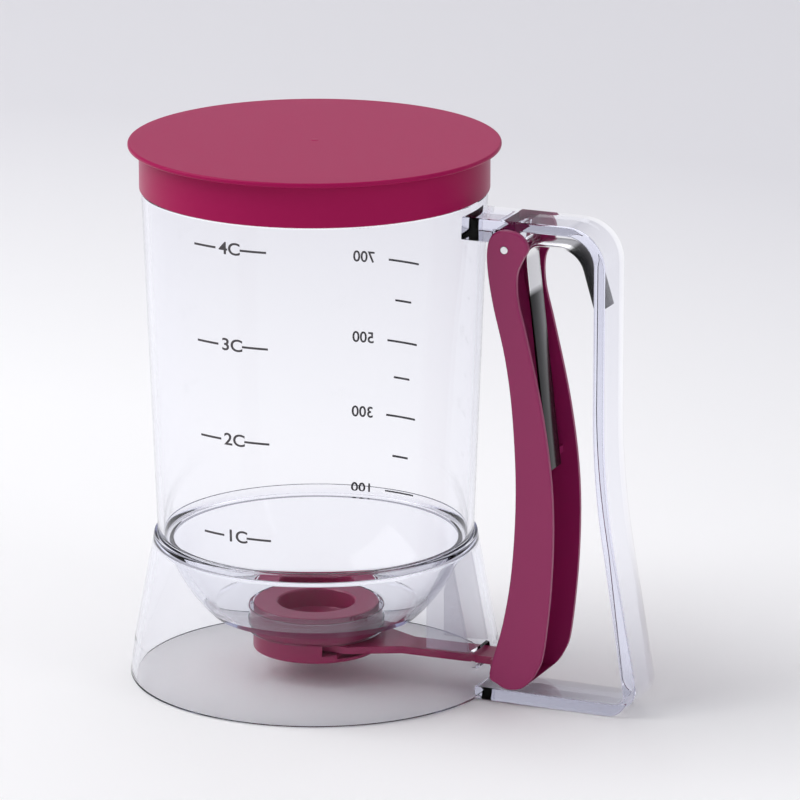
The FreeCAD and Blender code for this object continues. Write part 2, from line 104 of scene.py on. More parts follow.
def flowing(spots, closed=False, steps=5):
    """A smooth line through the spots (a Catmull-Rom curve)."""
    spots = [Vector(spot) for spot in spots]
    if closed:
        spots = [spots[-1], *spots, spots[0], spots[1]]
    else:
        spots = [2 * spots[0] - spots[1], *spots, 2 * spots[-1] - spots[-2]]
    line = []
    for a, b, c, d in zip(spots, spots[1:], spots[2:], spots[3:]):
        for step in range(steps):
            t = step / steps
            bend = (2 * a - 5 * b + 4 * c - d) * t ** 2
            twist = (3 * b - 3 * c + d - a) * t ** 3
            line.append((2 * b + (c - a) * t + bend + twist) / 2)
    if not closed:
        line.append(spots[-2])
    return [(spot.x, spot.y) for spot in line]


def block(left, right, low, high, radius=None):
    """The four corners of a rectangle, with a radius each if one is given."""
    corners = [(left, low), (right, low), (right, high), (left, high)]
    return corners if radius is None else rounded([(*corner, radius) for corner in corners])


print("a 10 mm square with 2 mm corners has", len(block(0, 10, 0, 10, 2)), "points")

# %% [markdown]
# Most of this product is turned: lid, wall, bowl, skirt and valve are all round. A turned piece
# is one outline spun about the upright axis. A closed outline gives a ring, and an open one
# that starts and ends on the axis gives a plate. The doubles are merged and the normals
# recalculated, because a spin can leave the faces inside out.


# %% Turned shapes
def turned(outline, closed=True, steps=ROUND_STEPS):
    shape = bmesh.new()
    corners = [shape.verts.new((across * MM, 0, up * MM)) for across, up in outline]
    ends = corners[1:] + corners[:1] if closed else corners[1:]
    edges = [shape.edges.new(pair) for pair in zip(corners, ends)]
    bmesh.ops.spin(shape, geom=corners + edges, cent=(0, 0, 0), axis=(0, 0, 1),
                   angle=2 * math.pi, steps=steps, use_merge=True)
    bmesh.ops.remove_doubles(shape, verts=shape.verts, dist=1e-6)
    bmesh.ops.recalc_face_normals(shape, faces=shape.faces)
    return shape


# %% [markdown]
# The handle, trigger, gate and spring are flat outlines with a thickness. One face is filled
# and extruded. The long edges then get a small bevel, because moulded plastic has no knife
# edges and the highlight on a softened edge is what makes it look real.


# %% Slabs
def slab(outline, low, high, across="xz", soft=0.0, segments=3):
    """The outline filled and extruded from low to high; soft is the bevel on its rims."""
    shape = bmesh.new()
    if across == "xz":
        spots = [(a * MM, low * MM, b * MM) for a, b in outline]
        path = (0, (high - low) * MM, 0)
    elif across == "xy":
        spots = [(a * MM, b * MM, low * MM) for a, b in outline]
        path = (0, 0, (high - low) * MM)
    else:
        spots = [(low * MM, a * MM, b * MM) for a, b in outline]
        path = ((high - low) * MM, 0, 0)
    face = shape.faces.new([shape.verts.new(spot) for spot in spots])
    made = bmesh.ops.extrude_face_region(shape, geom=[face], use_keep_orig=True)
    corners = [item for item in made["geom"] if isinstance(item, bmesh.types.BMVert)]
    bmesh.ops.translate(shape, vec=path, verts=corners)
    bmesh.ops.recalc_face_normals(shape, faces=shape.faces)
    if soft:
        soften(shape, soft, segments)
    return shape


def soften(shape, width, segments=2, angle=50):
    """Bevels every edge where two faces meet at more than the angle."""
    limit = math.radians(angle)
    sharp = [edge for edge in shape.edges if len(edge.link_faces) == 2 and edge.calc_face_angle() > limit]
    bmesh.ops.bevel(shape, geom=sharp, offset=width * MM, offset_type="OFFSET", affect="EDGES",
                    segments=segments, profile=0.5, material=-1, clamp_overlap=True)


# %% [markdown]
# A slot or a pocket is cut with the Boolean modifier, and the result is read back as a mesh at
# once, so that no cutter stays in the scene.


# %% Cuts and joins
def combined(shape, tools, operation="DIFFERENCE"):
    helpers = []
    for part in [shape, *tools]:
        mesh = bpy.data.meshes.new("blank")
        part.to_mesh(mesh)
        part.free()
        helpers.append(bpy.data.objects.new("blank", mesh))
        bpy.context.scene.collection.objects.link(helpers[-1])
    for helper in helpers[1:]:
        step = helpers[0].modifiers.new("cut", "BOOLEAN")
        step.operation = operation
        step.solver = "EXACT"
        step.object = helper
    graph = bpy.context.evaluated_depsgraph_get()
    mesh = bpy.data.meshes.new_from_object(helpers[0].evaluated_get(graph))
    result = bmesh.new()
    result.from_mesh(mesh)
    bpy.data.meshes.remove(mesh)
    for helper in helpers:
        old = helper.data
        bpy.data.objects.remove(helper)
        bpy.data.meshes.remove(old)
    bmesh.ops.remove_doubles(result, verts=result.verts, dist=2e-6)
    return result


# %% [markdown]
# Each finished shape becomes an object that rides on its CAD body and stands for its CAD nodes.
# Faces are smooth, and edges sharper than the crease angle stay crisp. A Weighted Normal
# modifier lets the large faces lead the shading. Without it the long wall would shade, and bend
# light, as if it leaned into the small radii at its ends.


# %% Finished pieces
def piece(name, shape, finish, body, nodes=(), crease=38):
    mesh = bpy.data.meshes.new(name)
    shape.to_mesh(mesh)
    shape.free()
    mesh.materials.append(finish)
    mesh.shade_smooth()
    mesh.set_sharp_from_angle(angle=math.radians(crease))
    made = bpy.data.objects.new(name, mesh)
    bpy.context.scene.collection.objects.link(made)
    shading = made.modifiers.new("large_faces_lead", "WEIGHTED_NORMAL")
    shading.mode = "FACE_AREA"
    shading.keep_sharp = True
    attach(made, body)
    if nodes:
        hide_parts(*nodes)
    print(name, "has", len(mesh.polygons), "faces")
    return made


# %% [markdown]
# Finishes. The body is clear styrene plastic: it transmits light, bends it, and shows a faint
# violet tint where the light runs a long way through it. The volume's absorption gives that
# tint, so thin walls stay nearly colourless. Real styrene bends light more than this finish
# does, but a lower index keeps the edges as pale as they are in the photograph.


# %% Finish helper
def plain_finish(name, colour, roughness, metallic=0.0, gloss=0.5):
    finish = bpy.data.materials.new(name)
    finish.use_nodes = True
    shader = finish.node_tree.nodes["Principled BSDF"]
    shader.inputs["Base Color"].default_value = (*colour, 1)
    shader.inputs["Roughness"].default_value = roughness
    shader.inputs["Metallic"].default_value = metallic
    shader.inputs["Specular IOR Level"].default_value = gloss
    return finish


# %% Clear plastic
clear = plain_finish("clear_styrene", (1.0, 1.0, 1.0), 0.015)
clear_shader = clear.node_tree.nodes["Principled BSDF"]
clear_shader.inputs["Transmission Weight"].default_value = 1.0
clear_shader.inputs["IOR"].default_value = 1.2
tint = clear.node_tree.nodes.new("ShaderNodeVolumeAbsorption")
tint.inputs["Color"].default_value = (0.55, 0.60, 1.0, 1)
tint.inputs["Density"].default_value = 17.0
clear_output = clear.node_tree.nodes["Material Output"]
clear.node_tree.links.new(tint.outputs["Volume"], clear_output.inputs["Volume"])

# %% [markdown]
# The guide ribs are sheets a millimetre thick. As clear plastic they would trap light and turn
# black at their edges, so they are a pale sheet that lets most of the background through.

# %% Frosted plastic of the ribs
rib_finish = plain_finish("frosted_ribs", (0.80, 0.82, 0.95), 0.35)
rib_finish.node_tree.nodes["Principled BSDF"].inputs["Alpha"].default_value = 0.22

# %% [markdown]
# The coloured parts are one magenta plastic in three finishes: the lid is satin, the trigger
# has a light grain that a noise bump gives, and the valve is smooth.


# %% Magenta plastic
def grained(finish, scale, strength):
    """A fine moulded grain, as a noise bump on Object coordinates."""
    nodes, links = finish.node_tree.nodes, finish.node_tree.links
    place = nodes.new("ShaderNodeTexCoord")
    noise = nodes.new("ShaderNodeTexNoise")
    noise.inputs["Scale"].default_value = scale
    noise.inputs["Detail"].default_value = 3
    bump = nodes.new("ShaderNodeBump")
    bump.inputs["Strength"].default_value = strength
    bump.inputs["Distance"].default_value = 0.0001
    links.new(place.outputs["Object"], noise.inputs["Vector"])
    links.new(noise.outputs["Fac"], bump.inputs["Height"])
    links.new(bump.outputs["Normal"], nodes["Principled BSDF"].inputs["Normal"])
    return finish


lid_finish = grained(plain_finish("lid_magenta", (0.36, 0.006, 0.080), 0.30, gloss=0.09), 2600, 0.08)
trigger_finish = grained(plain_finish("trigger_magenta", (0.30, 0.010, 0.100), 0.36), 2200, 0.12)
valve_finish = plain_finish("valve_magenta", (0.34, 0.012, 0.090), 0.28)

# %% [markdown]
# The real spring is bright on its arch and nearly black on both legs. Polished steel mirrors what
# is round it, and the pale studio here has nothing dark to mirror. So a painted reflection takes its
# place: the steel's base colour falls from bright to dark along a slope, down the object and towards
# the handle, a painted highlight on the arch and a painted dark reflection on the legs. The slope is
# read from Object coordinates, so it stays with the spring.

# %% Steel with a painted reflection, and ink
# The spring steel's base colour is a painted reflection: bright on the arch, dark on the legs, changing
# between these two heights of the slope.
PAINTED_ARCH_HIGHLIGHT = 0.85
PAINTED_LEG_REFLECTION = 0.03
PAINTED_DARK_BELOW = 0.0405
PAINTED_BRIGHT_ABOVE = 0.0430
steel = plain_finish("steel_painted_reflection", (0.62, 0.62, 0.63), 0.16, metallic=1.0)
steel_nodes, steel_links = steel.node_tree.nodes, steel.node_tree.links
steel_place = steel_nodes.new("ShaderNodeTexCoord")
painted_reflection_slope = steel_nodes.new("ShaderNodeVectorMath")
painted_reflection_slope.operation = "DOT_PRODUCT"
painted_reflection_slope.inputs[1].default_value = (-1.2, 0, 1.0)
painted_reflection_range = steel_nodes.new("ShaderNodeMapRange")
painted_reflection_range.inputs["From Min"].default_value = PAINTED_DARK_BELOW
painted_reflection_range.inputs["From Max"].default_value = PAINTED_BRIGHT_ABOVE
painted_reflection_range.inputs["To Min"].default_value = PAINTED_LEG_REFLECTION
painted_reflection_range.inputs["To Max"].default_value = PAINTED_ARCH_HIGHLIGHT
steel_links.new(steel_place.outputs["Object"], painted_reflection_slope.inputs[0])
steel_links.new(painted_reflection_slope.outputs["Value"], painted_reflection_range.inputs["Value"])
steel_links.new(painted_reflection_range.outputs["Result"], steel_nodes["Principled BSDF"].inputs["Base Color"])
pin_steel = plain_finish("pin_steel", (0.75, 0.75, 0.76), 0.2, metallic=1.0)
ink = plain_finish("grey_ink", (0.055, 0.048, 0.052), 0.5)
print("finishes:", [item.name for item in bpy.data.materials][:8])

# %% [markdown]
# The lid is a flat plate with a thin band under it that slips over the jug's rim. Its outline
# starts and ends on the axis, and the plate's edge is a small full round.

# %% Lid
LID_RADIUS = 56.9
LID_REST = 167.3
LID_TOP = 168.8
BAND_RADIUS = 53.5
BAND_WALL = 1.2
BAND_BOTTOM = 154.3
lid_outline = rounded([
    (BAND_RADIUS - BAND_WALL, LID_REST, 0.5),
    (BAND_RADIUS - BAND_WALL, BAND_BOTTOM, 0.3),
    (BAND_RADIUS, BAND_BOTTOM, 0.4),
    (BAND_RADIUS, LID_REST, 0.35),
    (LID_RADIUS, LID_REST, 0.55),
    (LID_RADIUS, LID_TOP, 0.65),
    (0, LID_TOP, 0),
    (0, LID_REST, 0),
])
piece("lid_turned", turned(lid_outline[-1:] + lid_outline[:-1], closed=False), lid_finish,
      "lid", ["lid"])

# %% [markdown]
# The plastic entered the lid's mould in the middle, which leaves a small dimple there.

# %% Gate mark on the lid
GATE_MARK_RADIUS = 1.3
gate_mark = turned([(0, LID_TOP), (GATE_MARK_RADIUS, LID_TOP), (GATE_MARK_RADIUS - 0.25, LID_TOP + 0.1),
                    (0, LID_TOP + 0.1)], closed=False, steps=32)
piece("lid_gate_mark", gate_mark, lid_finish, "lid")

# %% [markdown]
# The clear body is one glassy form: a tapered wall, a round bowl hung inside the ring, and a
# skirt that flares to the foot. In the photograph light runs freely through the places where
# they meet, so all three are one outline here, spun once. Arcs give the bowl its ball shape.

# %% Sizes of the wall
JUG_TOP = 167.0
JUG_TOP_RADIUS = 52.9
JUG_BASE_RADIUS = 48.9
JUG_WALL = 1.9
RIM_FOOT = 154.0
RIM_RADIUS = 52.0
RING_HEIGHT = 46.6


def wall_radius(height):
    """The wall's outer radius at a height, in millimetres."""
    share = (height - RING_HEIGHT) / (RIM_FOOT - RING_HEIGHT)
    return JUG_BASE_RADIUS + (JUG_TOP_RADIUS - JUG_BASE_RADIUS) * share


print("the wall is", round(2 * wall_radius(100), 1), "mm across at half height")

# %% Sizes of the bowl
BOWL_CENTRE = 54.98
BOWL_RADIUS = 47.6
BOWL_WALL = 2.2
BOWL_INNER = BOWL_RADIUS - BOWL_WALL
BOWL_RIM = 44.1
BOWL_ROOT = 42.2
VALVE_RADIUS = 19.6
VALVE_TOP = 22.5
FLOOR_UNDER = VALVE_TOP - BOWL_WALL
COLLAR_BORE = 19.45
COLLAR_RADIUS = 21.4
COLLAR_NECK = 20.7
LIP_SHOULDER = 16.4
COLLAR_BOTTOM = 13.9


def on_ball(radius, height):
    """How far from the axis a ball about the bowl's centre is at a height."""
    return math.sqrt(radius ** 2 - (height - BOWL_CENTRE) ** 2)


bowl_rim = (on_ball(BOWL_INNER, BOWL_RIM), BOWL_RIM)
bowl_root = (on_ball(BOWL_RADIUS, BOWL_ROOT), BOWL_ROOT)
floor_in = (on_ball(BOWL_INNER, VALVE_TOP), VALVE_TOP)
floor_out = (on_ball(BOWL_RADIUS, FLOOR_UNDER), FLOOR_UNDER)

# %% Sizes of the skirt
SKIRT_TOP_RADIUS = 50.0
SKIRT_WAIST_RADIUS = 56.3
SKIRT_WAIST = 11.5
SKIRT_FOOT_RADIUS = 57.8
SKIRT_WALL = 1.9
SHELF_BOTTOM = 42.4
LIP_TOP = 45.3

# %% Clear body outline
inside = rounded([
    (JUG_TOP_RADIUS - JUG_WALL, RIM_FOOT, 8.0),
    (JUG_BASE_RADIUS - JUG_WALL, BOWL_RIM + 0.9, 2.0),
    (*bowl_rim, 0),
    (RIM_RADIUS, JUG_TOP, 0.4),
    (JUG_TOP_RADIUS - JUG_WALL, JUG_TOP, 0.4),
])
rim_end = len(inside) - 10
bowl_run = [*arc(bowl_rim, floor_in, BOWL_INNER, "left", 28),
            (COLLAR_BORE + 0.2, VALVE_TOP), (COLLAR_BORE, VALVE_TOP - 0.2),
            (COLLAR_BORE, COLLAR_BOTTOM + 0.2), (COLLAR_BORE + 0.3, COLLAR_BOTTOM),
            (COLLAR_RADIUS - 0.4, COLLAR_BOTTOM), (COLLAR_RADIUS, COLLAR_BOTTOM + 0.4),
            (COLLAR_RADIUS, LIP_SHOULDER - 0.3), (COLLAR_RADIUS - 0.3, LIP_SHOULDER),
            (COLLAR_NECK + 0.3, LIP_SHOULDER + 0.2), (COLLAR_NECK, LIP_SHOULDER + 0.5),
            (COLLAR_NECK, FLOOR_UNDER - 1.0), (COLLAR_NECK + 0.3, FLOOR_UNDER - 0.3),
            (COLLAR_NECK + 1.0, FLOOR_UNDER), floor_out,
            *arc(floor_out, bowl_root, BOWL_RADIUS, "right", 28)]
skirt_run = rounded([
    (*bowl_root, 0),
    (SKIRT_TOP_RADIUS - SKIRT_WALL, SHELF_BOTTOM, 1.2),
    (SKIRT_WAIST_RADIUS - SKIRT_WALL, SKIRT_WAIST, 14.0),
    (SKIRT_FOOT_RADIUS - SKIRT_WALL, 0, 0.5),
    (SKIRT_FOOT_RADIUS, 0, 0.5),
    (SKIRT_WAIST_RADIUS, SKIRT_WAIST, 14.0),
    (SKIRT_TOP_RADIUS, LIP_TOP, 0.6),
    (JUG_BASE_RADIUS, LIP_TOP + 0.2, 0.5),
    (JUG_TOP_RADIUS, RIM_FOOT, 0.4),
    (RIM_RADIUS, RIM_FOOT, 0.1),
], steps=6)[1:]
body_outline = inside[:rim_end] + bowl_run + skirt_run + inside[rim_end:]
print("the clear body's outline has", len(body_outline), "points")

# %% [markdown]
# Two ribs inside the skirt guide the gate's arm, which leaves through a slot under the handle.
# They stand a hair's breadth off the bowl and the skirt, so that no two faces coincide.

# %% Guide ribs and arm slot
SLOT_HALF = 6.4
SLOT_BOTTOM = 9.0
SLOT_TOP = 14.2
SLOT_START = 30.0
GUIDE_REACH = 40.0
GUIDE_WALL = 1.1
guide_top = (on_ball(BOWL_RADIUS + 0.1, SHELF_BOTTOM - 0.8), SHELF_BOTTOM - 0.8)
guide_low = (GUIDE_REACH, BOWL_CENTRE - math.sqrt((BOWL_RADIUS + 0.1) ** 2 - GUIDE_REACH ** 2))
guide_outline = [(GUIDE_REACH, SLOT_TOP), (SKIRT_WAIST_RADIUS - SKIRT_WALL - 0.7, SLOT_TOP),
                 (SKIRT_TOP_RADIUS - SKIRT_WALL - 0.2, SHELF_BOTTOM - 0.8), guide_top,
                 *arc(guide_top, guide_low, BOWL_RADIUS + 0.1, "right", 10)]
guides = [slab(guide_outline, side, side + GUIDE_WALL) for side in (SLOT_HALF, -SLOT_HALF - GUIDE_WALL)]
arm_slot = slab(block(-SLOT_HALF, SLOT_HALF, SLOT_BOTTOM, SLOT_TOP, 0.6),
                SLOT_START, SKIRT_FOOT_RADIUS + 2, across="yz")

# %% [markdown]
# The handle is a flat band bent into a loop and closed by the jug. Its outline is a slab with
# softened edges. Its ends are cut to sink a little into the jug's round wall, and everything
# clear is then joined, so that light crosses the joints as it does in one moulding.

# %% Handle
HANDLE_HALF = 8.5
HANDLE_TOP = 151.7
BAR_BOTTOM = 148.7
GRIP_OUTER = 98.2
GRIP_INNER = 94.6
BEND_HEIGHT = 95.0
LEAN_HEIGHT = 50.0
LEAN_RADIUS = 255.0
HEEL_REACH = 109.8
HEEL_CORNER = 7.0
SILL_TOP = 4.0
HANDLE_CORNER = 12.5
ROOT_END = 62.0
ROOT_BOTTOM = 144.5
BAND = GRIP_OUTER - GRIP_INNER
lean_reach = GRIP_OUTER + LEAN_RADIUS - math.sqrt(LEAN_RADIUS ** 2 - (BEND_HEIGHT - LEAN_HEIGHT) ** 2)
outer_run = rounded([(GUIDE_REACH, HANDLE_TOP, 0), (GRIP_OUTER, HANDLE_TOP, HANDLE_CORNER),
                     (GRIP_OUTER, BEND_HEIGHT, 0)], steps=10)
outer_run += arc((GRIP_OUTER, BEND_HEIGHT), (lean_reach, LEAN_HEIGHT), LEAN_RADIUS, "right", 10)
heel_run = rounded([(lean_reach, LEAN_HEIGHT, 0), (HEEL_REACH, HEEL_CORNER, 6.0),
                    (HEEL_REACH - HEEL_CORNER, 0, 6.0), (GUIDE_REACH, 0, 0)], steps=8)[1:]
inner_heel = rounded([(GUIDE_REACH, SILL_TOP, 0), (HEEL_REACH - BAND - 0.6, SILL_TOP, 2.6),
                      (lean_reach - BAND, LEAN_HEIGHT, 0)], steps=6)
inner_run = arc((lean_reach - BAND, LEAN_HEIGHT), (GRIP_INNER, BEND_HEIGHT),
                LEAN_RADIUS + BAND, "left", 10)
inner_top = rounded([(GRIP_INNER, BEND_HEIGHT, 0), (GRIP_INNER, BAR_BOTTOM, 9.0),
                     (ROOT_END, BAR_BOTTOM, 0.8), (ROOT_END, ROOT_BOTTOM, 0.8),
                     (GUIDE_REACH, ROOT_BOTTOM, 0)], steps=8)[1:]
loop_outline = outer_run + heel_run + inner_heel + inner_run + inner_top
print("the handle's outline has", len(loop_outline), "points")

# %% Handle lug and pivot hole
PIVOT_REACH = 67.3
PIVOT_HEIGHT = 143.7
LUG_RADIUS = 3.5
PIN_RADIUS = 1.25
LUG_TOP = BAR_BOTTOM + 1.5
lug_front = (PIVOT_REACH - LUG_RADIUS, PIVOT_HEIGHT)
lug_low = (PIVOT_REACH, PIVOT_HEIGHT - LUG_RADIUS)
lug_back = (PIVOT_REACH + LUG_RADIUS, PIVOT_HEIGHT)
lug_outline = [lug_front, *arc(lug_front, lug_low, LUG_RADIUS, "right", 6),
               *arc(lug_low, lug_back, LUG_RADIUS, "right", 6),
               (lug_back[0], LUG_TOP), (lug_front[0], LUG_TOP)]
SINK = 0.6
weld_outline = [(0, -2), (SKIRT_FOOT_RADIUS - SINK, -2), (SKIRT_FOOT_RADIUS - SINK, 0),
                (SKIRT_WAIST_RADIUS - SINK, SKIRT_WAIST), (JUG_BASE_RADIUS - SINK, RING_HEIGHT),
                (JUG_TOP_RADIUS - SINK, RIM_FOOT), (0, RIM_FOOT)]


def round_bar(radius, half_length, across=PIVOT_REACH, height=PIVOT_HEIGHT, soft=0.0):
    """A round bar along Y through a point of the side view."""
    shape = bmesh.new()
    bmesh.ops.create_cone(shape, cap_ends=True, segments=48, radius1=radius * MM, radius2=radius * MM,
                          depth=2 * half_length * MM, matrix=Matrix.Rotation(math.radians(90), 4, "X"))
    bmesh.ops.translate(shape, vec=(across * MM, 0, height * MM), verts=shape.verts)
    if soft:
        soften(shape, soft)
    return shape


loop_shape = slab(loop_outline, -HANDLE_HALF, HANDLE_HALF, soft=0.7)
loop_shape = combined(loop_shape, [slab(lug_outline, -HANDLE_HALF + 0.02, HANDLE_HALF - 0.02)], "UNION")
loop_shape = combined(loop_shape, [turned(weld_outline, closed=False)])

# %% Clear body
body_shape = combined(turned(body_outline), [loop_shape], "UNION")
body_shape = combined(body_shape, [arm_slot, round_bar(PIN_RADIUS + 0.05, 20)])
piece("clear_body", body_shape, clear, "root",
      ["measuring_jug", "funnel_bowl", "base_skirt", "handle_frame"], crease=30)

# %% Guide ribs
rib_shape = combined(guides[0], [guides[1]], "UNION")
piece("guide_ribs", rib_shape, rib_finish, "root")

# %% [markdown]
# The valve is two magenta pieces: a seat with the throat that batter runs through, and a cup
# under it, open towards the handle, that the gate slides in.

# %% Valve seat
VALVE_BOTTOM = 7.8
FLOOR_TOP = 10.3
HOUSING_TOP = 14.2
BOSS_BOTTOM = 13.3
OUTLET_RADIUS = 8.3
INLET_RADIUS = 12.0
seat_outline = rounded([
    (OUTLET_RADIUS, BOSS_BOTTOM, 0),
    (VALVE_RADIUS - 1.9, BOSS_BOTTOM, 0.2),
    (VALVE_RADIUS - 1.9, HOUSING_TOP, 0),
    (VALVE_RADIUS, HOUSING_TOP, 0.2),
    (VALVE_RADIUS, VALVE_TOP, 0.7),
    (INLET_RADIUS, VALVE_TOP, 0.7),
    (INLET_RADIUS, 16.5, 0.3),
    (OUTLET_RADIUS, BOSS_BOTTOM + 1.0, 0.2),
])
piece("valve_seat_turned", turned(seat_outline), valve_finish, "root", ["valve_seat"])

# %% Valve housing
MOUTH_ANGLE = 61.0
MOUTH_REACH = 30.0
LIP_START = 13.0
LIP_HALF = 14.4
LIP_HEIGHT = 9.1
housing_outline = rounded([
    (OUTLET_RADIUS, VALVE_BOTTOM, 0.3),
    (VALVE_RADIUS, VALVE_BOTTOM, 0.8),
    (VALVE_RADIUS, HOUSING_TOP, 0.15),
    (VALVE_RADIUS - 1.6, HOUSING_TOP, 0.15),
    (VALVE_RADIUS - 1.6, FLOOR_TOP, 0.2),
    (OUTLET_RADIUS, FLOOR_TOP, 0.2),
])
mouth_x = MOUTH_REACH * math.cos(math.radians(MOUTH_ANGLE))
mouth_y = MOUTH_REACH * math.sin(math.radians(MOUTH_ANGLE))
mouth_outline = [(0, 0), (mouth_x, -mouth_y), (MOUTH_REACH, -mouth_y),
                 (MOUTH_REACH, mouth_y), (mouth_x, mouth_y)]
mouth = slab(mouth_outline, FLOOR_TOP, HOUSING_TOP + 1, across="xy")
lip_cut = slab(block(LIP_START, MOUTH_REACH, -LIP_HALF, LIP_HALF), LIP_HEIGHT, FLOOR_TOP + 1, across="xy")
piece("valve_cup", combined(turned(housing_outline), [mouth, lip_cut]), valve_finish,
      "root", ["valve_housing"])

# %% [markdown]
# The gate is one flat moulding: a round paddle that shuts the outlet, and an arm that reaches
# out through the skirt and hooks into the trigger's toe.

# %% Slide gate
GATE_BOTTOM = 10.6
GATE_TOP = 13.0
GATE_RADIUS = 13.0
GATE_MIDDLE = 1.5
ARM_HALF = 5.5
SHOULDER = 62.7
SHOULDER_WALL = 1.4
SHOULDER_HALF = 7.4
HOOK_START = 66.86
HOOK_WALL = 2.0
HOOK_HALF = 8.0
gate_side = [(16.0, GATE_RADIUS), (31.0, ARM_HALF), (SHOULDER - SHOULDER_WALL, ARM_HALF),
             (SHOULDER - SHOULDER_WALL, SHOULDER_HALF), (SHOULDER, SHOULDER_HALF), (SHOULDER, ARM_HALF),
             (HOOK_START, ARM_HALF), (HOOK_START, HOOK_HALF), (HOOK_START + HOOK_WALL, HOOK_HALF)]
lead_top = (GATE_MIDDLE, GATE_RADIUS)
lead_tip = (GATE_MIDDLE - GATE_RADIUS, 0)
gate_outline = [lead_tip, *arc(lead_tip, lead_top, GATE_RADIUS, "left", 14), *gate_side]
gate_outline += [(x, -y) for x, y in reversed(gate_outline[1:])]
piece("gate_with_arm", slab(gate_outline, GATE_BOTTOM, GATE_TOP, across="xy", soft=0.3, segments=2),
      valve_finish, "gate", ["slide_gate"])

# %% [markdown]
# The trigger is a long lever, hollowed from the side of the palm into a channel, so that it is
# light but stiff. Its ears straddle the handle's lug. The lever is one slab and the hollow is
# another, cut out of it.

# %% Trigger
TRIGGER_HALF = 12.3
TRIGGER_WALL = 1.8
EAR_FRONT = (61.7, 143.7)
TOE = (63.0, 10.2)
SOLE = (69.5, 5.6)
TOE_CURVE = 8.0
WEB_TOP = 140.0
ear = [EAR_FRONT, (63.4, 148.1), (67.3, 149.7), (72.3, 148.6), (74.9, 144.7), (73.0, 140.6)]
palm_side = [(71.3, 136.0), (71.6, 128.0), (74.6, 116.0), (80.0, 92.0), (83.1, 68.0), (83.1, 44.0)]
heel = [(80.8, 20.0), (78.3, 12.0), (74.3, 7.0), SOLE, (65.6, 7.0)]
finger_side = [TOE, (67.2, 26.0), (70.1, 44.0), (71.3, 68.0), (70.1, 92.0), (67.6, 110.0),
               (63.7, 126.0), (61.9, 136.5)]
lever_outline = flowing([*ear, *palm_side, *heel, *finger_side], closed=True)
sole_in = (SOLE[0] + TRIGGER_WALL, SOLE[1] + TRIGGER_WALL)
toe_in = (TOE[0] + TRIGGER_WALL, TOE[1] + TRIGGER_WALL / 2)
web_in = [(across + TRIGGER_WALL, up) for across, up in [*finger_side[1:], (EAR_FRONT[0], WEB_TOP)]]
channel_front = EAR_FRONT[0] - TRIGGER_WALL
channel_outline = [(channel_front, WEB_TOP), (channel_front, HANDLE_TOP), (GRIP_OUTER, HANDLE_TOP),
                   (GRIP_OUTER, toe_in[1]), sole_in, *arc(sole_in, toe_in, TOE_CURVE, "left", 6)[:-1],
                   *flowing([toe_in, *web_in])]
channel_half = TRIGGER_HALF - TRIGGER_WALL
lever_shape = combined(slab(lever_outline, -TRIGGER_HALF, TRIGGER_HALF, soft=0.6),
                       [slab(channel_outline, -channel_half, channel_half)])

# %% Spring stop, arm slot and pin holes of the trigger
STOP_REACH = 77.8
STOP_BOTTOM = 76.0
STOP_TOP = 78.4
STOP_ROOT = 72.0
STOP_SUNK = 0.9
ARM_ROOM_LOW = 8.2
ARM_ROOM_HIGH = 13.6
ARM_ROOM_START = 55.0
ARM_ROOM_END = 71.3
stop = slab(block(STOP_ROOT, STOP_REACH, STOP_BOTTOM, STOP_TOP),
            -channel_half - STOP_SUNK, channel_half + STOP_SUNK)
arm_room = slab(block(-SLOT_HALF, SLOT_HALF, ARM_ROOM_LOW, ARM_ROOM_HIGH),
                ARM_ROOM_START, ARM_ROOM_END, across="yz")
lever_shape = combined(lever_shape, [stop], "UNION")
lever_shape = combined(lever_shape, [arm_room, round_bar(PIN_RADIUS + 0.05, 20)])
piece("trigger_lever", lever_shape, trigger_finish, "trigger", ["trigger"])

# %% [markdown]
# A steel pin with rounded ends holds the trigger on the handle's lug.

# %% Pivot pin
piece("pin_turned", round_bar(PIN_RADIUS, TRIGGER_HALF, soft=0.3), pin_steel,
      "root", ["pivot_pin"])

# %% [markdown]
# The return spring is a strip of steel. One leg lies in the trigger's channel, the strip arches
# over the pivot, and a short leg presses on the handle. The real spring bends as the trigger is
# squeezed; here it is one fixed shape, on neither body.

# %% Return spring
SPRING_HALF = 4.85
SPRING_THICK = 0.8
SPRING_TOP = 144.4
SPRING_FOOT = 79.1
SPRING_KNEE = 70.9
SPRING_SHOULDER = 88.5
SPRING_END = 93.9
SPRING_TAIL = 126.0
SPRING_PAST_STOP = 2.0


def strip_outline(corners, thickness, steps=8):
    """The two faces of a bent strip whose middle line has rounded corners (x, z, radius)."""
    near, far = [], []
    for index, (x, z, radius) in enumerate(corners):
        here = Vector((x, z))
        if index in (0, len(corners) - 1):
            other = Vector(corners[1 if index == 0 else -2][:2])
            along = (other - here if index == 0 else here - other).normalized()
            side = Vector((-along.y, along.x)) * thickness / 2
            near.append(here + side)
            far.append(here - side)
            continue
        back = (Vector(corners[index - 1][:2]) - here).normalized()
        ahead = (Vector(corners[index + 1][:2]) - here).normalized()
        half = back.angle(ahead) / 2
        middle = here + (back + ahead).normalized() * radius / math.sin(half)
        start = here + back * radius / math.tan(half) - middle
        turn = start.angle_signed(here + ahead * radius / math.tan(half) - middle)
        for step in range(steps + 1):
            arm = Matrix.Rotation(-turn * step / steps, 2) @ start
            near.append(middle + arm * (radius + thickness / 2) / radius)
            far.append(middle + arm * (radius - thickness / 2) / radius)
    return [tuple(spot) for spot in near + far[::-1]]


spring_corners = [(SPRING_FOOT, STOP_BOTTOM - SPRING_PAST_STOP, 0), (SPRING_KNEE, SPRING_TOP, 4.5),
                  (SPRING_SHOULDER, SPRING_TOP, 9.0), (SPRING_END, SPRING_TAIL, 0)]
spring_line = strip_outline(spring_corners, SPRING_THICK)
spring_shape = slab(spring_line, -SPRING_HALF, SPRING_HALF, soft=0.15, segments=2)
